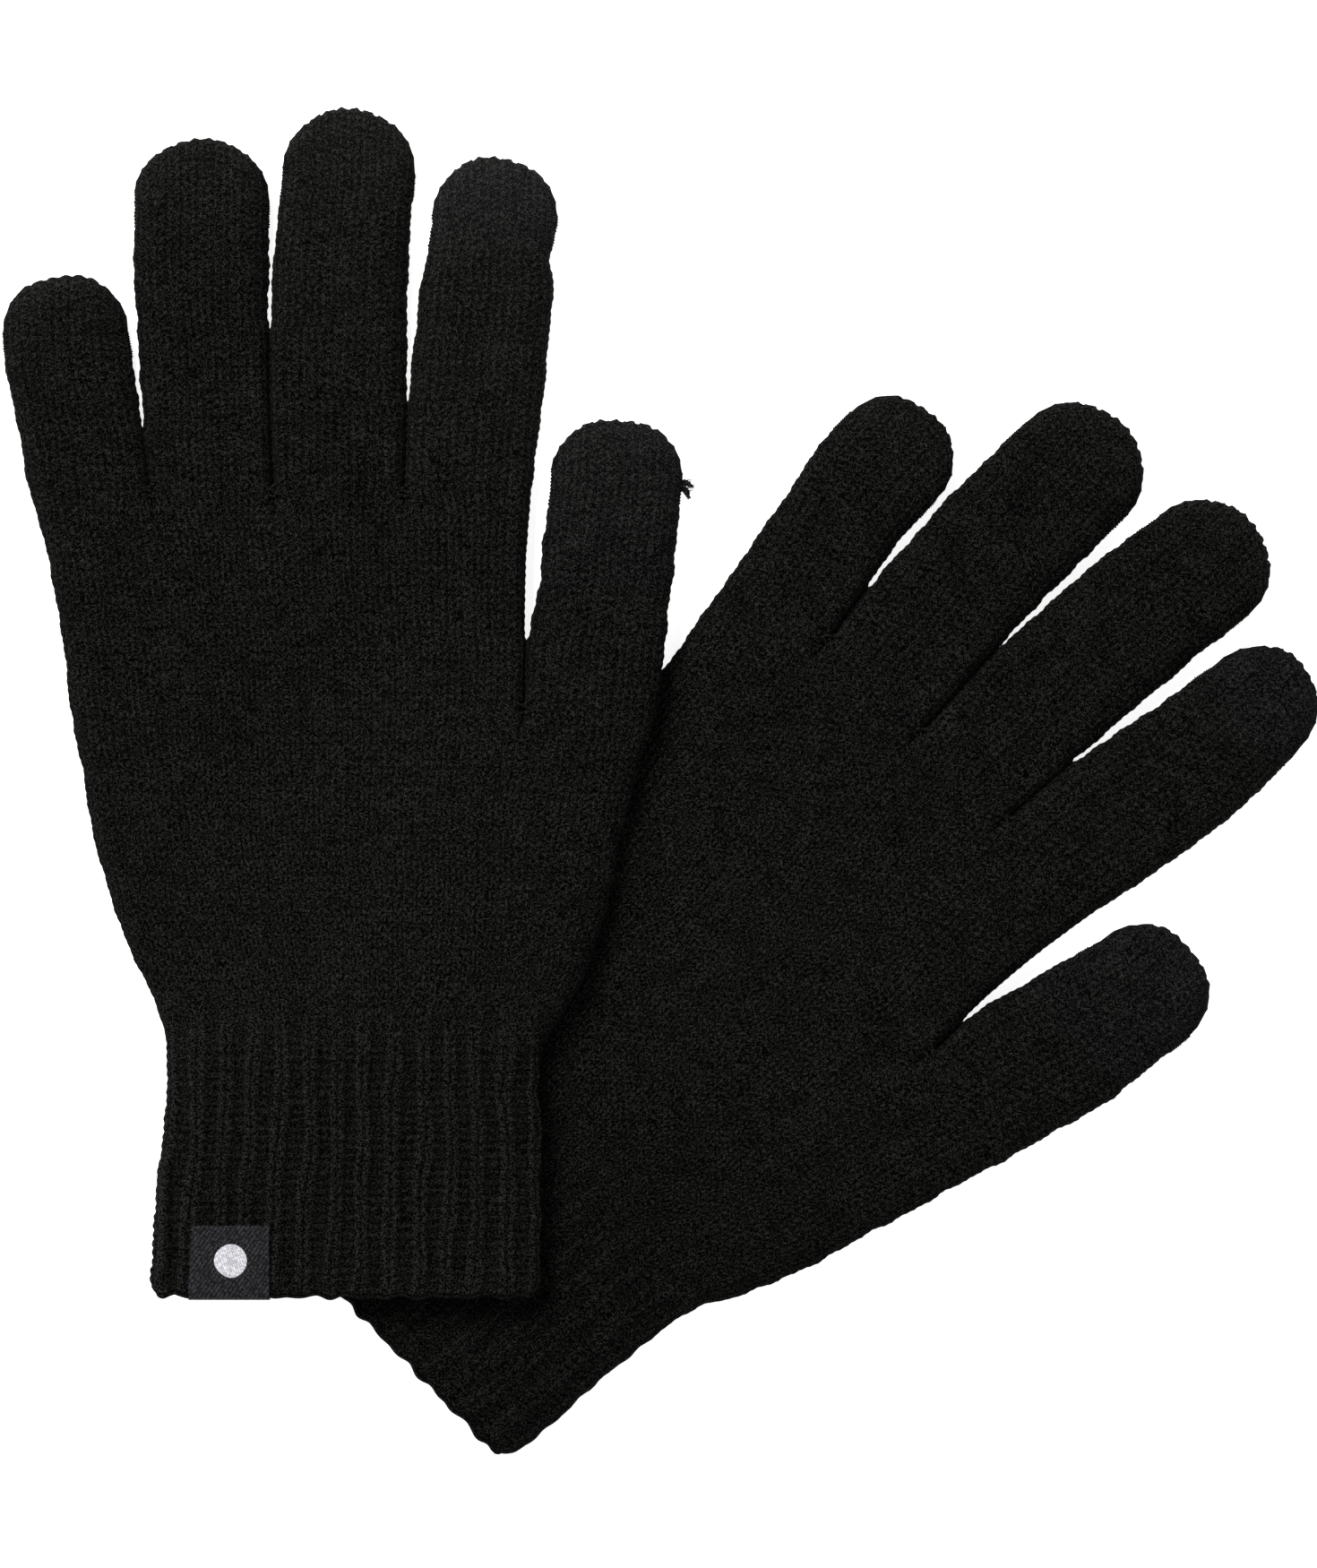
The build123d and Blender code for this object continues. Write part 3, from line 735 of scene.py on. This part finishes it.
def twisted(path, radius, plies=2, pitch=1.5):
    """Plied yarn along a path, as (verts, quads) of each ply."""
    path = np.asarray(path, float)
    length = np.concatenate([[0], np.cumsum(np.linalg.norm(np.diff(path, axis=0), axis=1))])
    fine = np.linspace(0, length[-1], max(8, int(length[-1] / 0.12)))
    line = np.stack([np.interp(fine, length, path[:, k]) for k in range(3)], 1)
    for _ in range(6):
        line[1:-1] = (line[:-2] + 2 * line[1:-1] + line[2:]) / 4
    along = np.gradient(line, axis=0)
    along /= np.linalg.norm(along, axis=1, keepdims=True)
    side = np.cross(along, (0.13, 0.21, 0.97))
    side /= np.linalg.norm(side, axis=1, keepdims=True)
    other = np.cross(along, side)
    made = []
    for ply in range(plies):
        t = (2 * math.pi * (fine / pitch + ply / plies))[:, None]
        made.append(tube(line + radius * 0.5 * (side * np.cos(t) + other * np.sin(t)), radius * 0.58))
    return made


def gather(shapes):
    """Several (verts, quads) as one."""
    verts, quads, count = [], [], 0
    for v, q in shapes:
        verts.append(v)
        quads.append(q + count)
        count += len(v)
    return np.concatenate(verts), np.concatenate(quads)


def skin_height(name, x, y):
    """Highest point of a glove's surface near (x, y), in its own frame."""
    skin = SKINS[name]
    near = (np.abs(skin[:, 0] - x) < 0.6) & (np.abs(skin[:, 1] - y) < 0.6)
    return skin[near, 2].max()


DARN_LENGTH, DARN_RADIUS = 6.0, 0.34
for glove in (LOWER, UPPER):
    name = glove["name"]
    rng = np.random.RandomState(glove["seed"] + 40)
    spots = [(glove["fingers"][f][1][0][1], KNUCKLE_LINE - 1.2) for f in ("little", "ring", "middle")]
    spots.append((glove["crotch_side"][0][1] + 0.6, THUMB_LINE - 1.4))
    shapes = []
    for x, y in spots:
        for turns, size, shift in (((-35, -15), 1.0, 0.0), ((20, 50), 0.7, 0.9), ((-8, 12), 0.6, -1.0)):
            turn = rng.uniform(*turns)
            c, si = math.cos(math.radians(turn)), math.sin(math.radians(turn))
            path = []
            for k in np.linspace(-0.5, 0.5, 9):
                px, py = x + k * DARN_LENGTH * size * c, y + shift + k * DARN_LENGTH * size * si
                path.append((px, py, skin_height(name, px, py) + 0.12 - 0.9 * abs(2 * k) ** 4))
            shapes.extend(twisted(path, DARN_RADIUS))
    verts, quads = gather(shapes)
    darns = write_mesh(name + "_darned_gaps", to_frame(glove, verts), quads,
                       {"recess": np.full(len(verts), 0.8), "touch": np.zeros(len(verts))})
    darns.data.materials.append(PLAIN)
    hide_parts(name + "_crotch_darns")
    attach(darns, name + "_hand")

LOOSE_HAIRS = 18
TAILS = (       # glove, finger, x, y, direction in degrees, size
    (UPPER, "thumb", 67.6, 163.9, -10, 1.0),
    (LOWER, "little", -46.2, 206.6, 50, 0.6),
)
for glove, finger, x, y, turn, full in TAILS:
    name = glove["name"]
    rng = np.random.RandomState(glove["seed"] + 70)
    base = RIM + float(drape(glove, np.array(x), np.array(y)))
    shapes = []
    strands = [(2.5, 0.42), (2.1, 0.40), (2.4, 0.36), (1.7, 0.45)]
    strands += [(rng.uniform(1.4, 2.9), 0.06) for _ in range(LOOSE_HAIRS)]
    for k, (length, radius) in enumerate(strands):
        spread = (k % 4 - 1.5) / 1.5
        angle = math.radians(turn + 38 * spread + rng.uniform(-8, 8))
        curl = rng.uniform(-0.9, 0.9) - 0.5 * spread
        path = []
        for t in np.linspace(-0.35, 1, 12):
            out = length * full * t
            aim = angle + curl * t
            path.append((x + out * math.cos(aim), y + 0.75 * full * spread + out * math.sin(aim),
                         base + 0.45 * math.sin(2.2 * t + 1.7 * k)))
        shapes.extend(twisted(path, radius, pitch=1.1) if radius > 0.1 else [tube(path, radius, 5)])
    verts, quads = gather(shapes)
    tail = write_mesh(f"{name}_{finger}_yarn_end", to_frame(glove, verts), quads,
                      {"recess": np.full(len(verts), 0.9), "touch": np.full(len(verts), 0.9)})
    tail.data.materials.append(PLAIN)
    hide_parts(f"{name}_{finger}_yarn_tail")
    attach(tail, f"{name}_{finger}_tip")

# ---------------------------------------------------------------- label
LABEL_X, LABEL_WIDTH, LABEL_THICK = -22.9, 15.5, 0.35
LABEL_OUT, LABEL_IN = 15.2, 10.5       # levels at which its outer and its inner flap end
LABEL_EDGE, LABEL_FOLD = 1.75, 1.35    # the fold starts at this level and reaches this far round the hem
LABEL_TWILL = 430.0
LABEL_TOP = LIFT + RIM + TOP + RIB_DEPTH / 2 + 0.55
LABEL_BELOW = LIFT + RIM + TOP - LAYER - 1.0
MARK_RADIUS, MARK_RISE = 3.4, 0.14
MARK_INSET = 7.0        # from the label's free edge to the middle of the sign
SEWING, SEWING_PITCH, SEWING_LENGTH, SEWING_RADIUS = 5, 3.2, 1.6, 0.14


def label_rise(x, y):
    """The label's outer flap bends a little over the ribs under it."""
    return (0.10 * np.cos((x - LABEL_X) * 2 * math.pi / 5.5 + 0.7) + 0.05 * np.sin(y * 0.9 + x * 0.4)
            - 0.10 * smoothstep((np.abs(x - LABEL_X) - LABEL_WIDTH / 2 + 2) / 2))


def weave_material(name, colour, dark, twill, angle, rough):
    """Fine woven satin: diagonal twill lines with a slight sheen, and a little uneven."""
    material = bpy.data.materials.new(name)
    material.use_nodes = True
    tree = material.node_tree
    links = tree.links
    shader = tree.nodes["Principled BSDF"]
    place = node(tree, "ShaderNodeTexCoord")
    turned = node(tree, "ShaderNodeMapping")
    turned.inputs["Rotation"].default_value = (0, 0, math.radians(angle))
    lines = node(tree, "ShaderNodeTexWave", Scale=twill, Distortion=1.5, Detail=2.0)
    lines.inputs["Detail Scale"].default_value = 2.0
    cross = node(tree, "ShaderNodeTexWave", Scale=twill * 1.6, Distortion=1.0, bands_direction="Y")
    fuzz = node(tree, "ShaderNodeTexNoise", Scale=1700.0, Detail=3.0, Roughness=0.8)
    flecks = node(tree, "ShaderNodeMapRange", From_Min=0.46, From_Max=0.56, To_Min=0.05, To_Max=1.0)
    links.new(place.outputs["Object"], turned.inputs["Vector"])
    for texture in (lines, cross, fuzz):
        links.new(turned.outputs["Vector"], texture.inputs["Vector"])
    both = node(tree, "ShaderNodeMath", operation="MULTIPLY_ADD")
    both.inputs[1].default_value = 0.35
    links.new(cross.outputs["Fac"], both.inputs[0])
    links.new(lines.outputs["Fac"], both.inputs[2])
    mixed = node(tree, "ShaderNodeMath", operation="MULTIPLY")
    links.new(both.outputs["Value"], mixed.inputs[0])
    links.new(fuzz.outputs["Fac"], flecks.inputs["Value"])
    links.new(flecks.outputs["Result"], mixed.inputs[1])
    tone = node(tree, "ShaderNodeMix", data_type="RGBA", blend_type="MIX")
    tone.inputs["A"].default_value = (*dark, 1)
    tone.inputs["B"].default_value = (*colour, 1)
    links.new(mixed.outputs["Value"], tone.inputs["Factor"])
    links.new(tone.outputs["Result"], shader.inputs["Base Color"])
    bump = node(tree, "ShaderNodeBump", Strength=0.7, Distance=0.00008)
    links.new(both.outputs["Value"], bump.inputs["Height"])
    links.new(bump.outputs["Normal"], shader.inputs["Normal"])
    shader.inputs["Roughness"].default_value = rough
    shader.inputs["Specular IOR Level"].default_value = 0.2
    return material


fold = (LABEL_TOP - LABEL_BELOW) / 2
path = [(y, LABEL_TOP) for y in np.linspace(LABEL_OUT, LABEL_EDGE, 44)]
path += [(LABEL_EDGE - LABEL_FOLD * math.sin(t), LABEL_BELOW + fold + fold * math.cos(t))
         for t in np.linspace(0, math.pi, 15)[1:-1]]
path += [(y, LABEL_BELOW) for y in np.linspace(LABEL_EDGE, LABEL_IN, 28)]
path = np.array(path)
xs = LABEL_X + np.linspace(-0.5, 0.5, 53) * LABEL_WIDTH
grid = np.stack([np.repeat(xs[None], len(path), 0), np.repeat(path[:, :1], len(xs), 1),
                 np.repeat(path[:, 1:], len(xs), 1)], -1)
outer_flap = smoothstep((grid[..., 2] - LABEL_TOP + fold) / fold)
grid[..., 2] += outer_flap * label_rise(grid[..., 0], grid[..., 1])
slant = 0.05 * np.clip(LABEL_OUT - grid[..., 1], 0, 14) * (0.5 - (grid[..., 0] - LABEL_X) / LABEL_WIDTH)
grid[..., 0] -= slant
from_middle = grid[..., 0] - LABEL_X
at_side = np.abs(from_middle) > LABEL_WIDTH / 2 - 0.4
grid[..., 0] += 0.06 * np.sin(grid[..., 1] * 3.1) * np.sign(from_middle) * at_side
ids = np.arange(grid.size // 3).reshape(grid.shape[:2])
quads = np.stack([ids[:-1, :-1], ids[1:, :-1], ids[1:, 1:], ids[:-1, 1:]], -1).reshape(-1, 4)
label = write_mesh("woven_label", to_frame(UPPER, grid.reshape(-1, 3)), quads)
thick = label.modifiers.new("cloth", "SOLIDIFY")
thick.thickness = LABEL_THICK * MM
thick.offset = 0
label.data.materials.append(
    weave_material("label_weave", (0.037, 0.035, 0.042), (0.0, 0.0, 0.0), LABEL_TWILL, 35, 0.8))
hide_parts("upper_label")
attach(label, "upper_hand")


def dome(radius, rise, rings=9, sides=96):
    """A round sign, raised a little above the label."""
    share = np.linspace(0.006, 1, rings)[:, None]
    t = np.arange(sides)[None] * 2 * math.pi / sides
    x = LABEL_X + radius * share * np.cos(t)
    y = LABEL_OUT - MARK_INSET + radius * share * np.sin(t)
    z = LABEL_TOP + LABEL_THICK / 2 + label_rise(x, y) + rise * np.sqrt(np.clip(1 - share**6, 0, 1)) - 0.02
    v = np.stack([x, y, z], -1).reshape(-1, 3)
    k = np.arange(rings * sides).reshape(rings, sides)
    a, b = k[:-1], k[1:]
    return v, np.stack([a, b, np.roll(b, -1, 1), np.roll(a, -1, 1)], -1).reshape(-1, 4)


verts, quads = dome(MARK_RADIUS, MARK_RISE)
mark = write_mesh("label_sign", to_frame(UPPER, verts), quads)
mark.data.materials.append(
    weave_material("mark_weave", (0.97, 0.97, 1.0), (0.45, 0.44, 0.48), 700.0, -20, 0.7))
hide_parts("upper_label_mark")
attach(mark, "upper_hand")

shapes = []
for k in range(SEWING):
    line = np.linspace(-0.5, 0.5, 9)
    x = LABEL_X + (k - 2) * SEWING_PITCH + SEWING_LENGTH * line
    y = LABEL_OUT - 0.9
    top = LABEL_TOP + LABEL_THICK / 2 + label_rise(x, y) + 0.02 - 0.35 * np.abs(2 * line) ** 3
    shapes.extend(twisted(np.stack([x, y + 0 * line, top], 1), SEWING_RADIUS, pitch=0.5))
verts, quads = gather(shapes)
sewing = write_mesh("label_stitches", to_frame(UPPER, verts), quads)
sewing.data.materials.append(
    weave_material("sewing_thread", (0.030, 0.029, 0.033), (0.003, 0.003, 0.004), 900.0, 0, 0.7))
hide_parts("upper_label_stitches")
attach(sewing, "upper_hand")

# ---------------------------------------------------------------- studio
VIEW_HEIGHT = 315.9     # what the picture takes in from top to bottom, at the gloves' height
CAMERA_HEIGHT, GLOVE_HEIGHT = 1500.0, 8.0
SENSOR = 36.0
KEY_POWER, FILL_POWER, WORLD_LIGHT = 44, 3, 0.32
FLOOR_GLOW = 0.86
camera = bpy.data.objects.new("camera", bpy.data.cameras.new("camera"))
bpy.context.scene.collection.objects.link(camera)
camera.location = (-0.5 * MM, 0.5 * MM, CAMERA_HEIGHT * MM)
camera.data.sensor_width = SENSOR
camera.data.lens = SENSOR * (CAMERA_HEIGHT - GLOVE_HEIGHT) / VIEW_HEIGHT
bpy.context.scene.camera = camera
bpy.context.scene.view_settings.view_transform = "Standard"

floor_mesh = bpy.data.meshes.new("floor")
floor_mesh.from_pydata([(-3, -3, 0), (3, -3, 0), (3, 3, 0), (-3, 3, 0)], [], [(0, 1, 2, 3)])
floor = bpy.data.objects.new("floor", floor_mesh)
bpy.context.scene.collection.objects.link(floor)
pale = bpy.data.materials.new("pale_floor")
pale.use_nodes = True
surface_of_floor = pale.node_tree.nodes["Principled BSDF"].inputs
surface_of_floor["Base Color"].default_value = (0.9, 0.9, 0.9, 1)
surface_of_floor["Roughness"].default_value = 0.9
surface_of_floor["Emission Color"].default_value = (1, 1, 1, 1)
surface_of_floor["Emission Strength"].default_value = FLOOR_GLOW
floor.data.materials.append(pale)


def lamp(name, place, target, size, power):
    """A soft round light that points at a target."""
    light = bpy.data.lights.new(name, "AREA")
    light.shape = "DISK"
    light.size = size
    light.energy = power
    obj = bpy.data.objects.new(name, light)
    bpy.context.scene.collection.objects.link(obj)
    obj.location = place
    obj.rotation_euler = (Vector(target) - Vector(place)).to_track_quat("-Z", "Y").to_euler()


lamp("key", (-0.8, 1.0, 1.5), (0, 0, 0), 1.1, KEY_POWER)
lamp("fill", (0.9, -0.6, 1.4), (0, 0, 0), 1.2, FILL_POWER)
world = bpy.data.worlds.new("studio")
world.use_nodes = True
world.node_tree.nodes["Background"].inputs["Color"].default_value = (1, 1, 1, 1)
world.node_tree.nodes["Background"].inputs["Strength"].default_value = WORLD_LIGHT
bpy.context.scene.world = world
